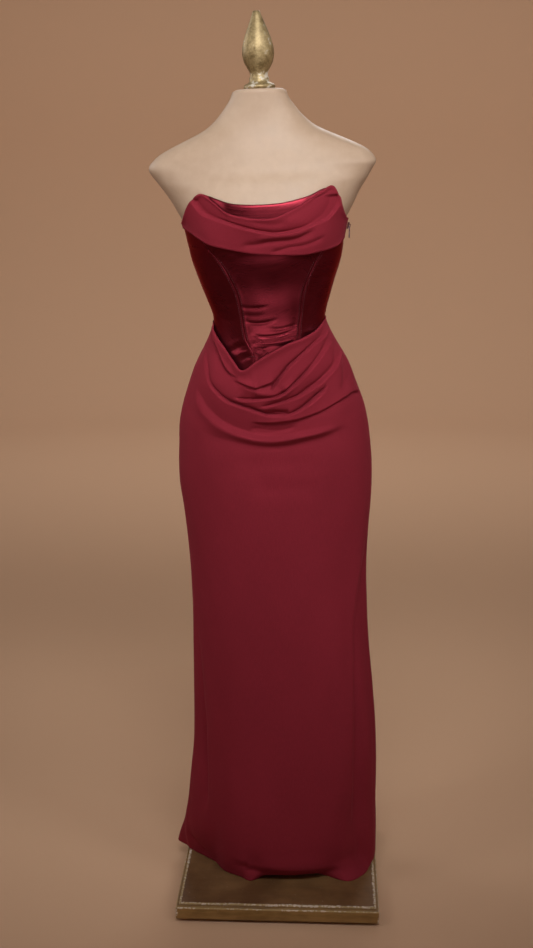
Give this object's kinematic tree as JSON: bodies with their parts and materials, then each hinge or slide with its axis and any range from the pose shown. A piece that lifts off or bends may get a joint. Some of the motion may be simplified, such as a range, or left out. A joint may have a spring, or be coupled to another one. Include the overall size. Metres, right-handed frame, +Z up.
{
  "type": "strapless evening gown on a limbless dress form",
  "caption": "Strapless floor-length evening gown with a satin corset bodice and draped cowl neck and hip, shown on a limbless dress form on a pole and square base.",
  "frame": {"origin": "middle of the underside of the stand's base, on the floor", "axes": "+Z up; the front faces -Y; the wearer's left is +X"},
  "size_m": [0.4289, 0.38, 1.6482],
  "materials": {
    "satin": "burgundy satin with a soft sheen",
    "crepe": "matte burgundy crepe",
    "zip_slider": "dark red lacquer",
    "zip_tab": "satin metal",
    "form_skin": "smooth skin-coloured shell",
    "finial": "antique gold paint",
    "pole": "dull steel",
    "base_paint": "gold-brown paint, worn at the edges",
    "plinth": "dark stain"
  },
  "bodies": {
    "gown_on_form": {"bodice_centre_front": "satin", "bodice_side_front_right": "satin", "bodice_side_front_left": "satin", "bodice_side_back_right": "satin", "bodice_side_back_left": "satin", "bodice_centre_back": "satin", "neck_drape": "crepe", "skirt_front": "crepe", "skirt_back": "crepe", "zip_slider": "zip_slider", "form_torso": "form_skin", "neck_finial": "finial", "stand_pole": "pole", "base_board": "base_paint", "base_plinth": "plinth"},
    "zip_tab": {"zip_pull_tab": "zip_tab"}
  },
  "joints": [
    {"name": "zip_tab_hinge", "type": "hinge", "parent": "gown_on_form", "child": "zip_tab", "pos_m": [0.12018, -0.03003, 1.27942], "axis": [-0.1862, -0.9825, 0], "range_deg": [0, 90]}
  ]
}
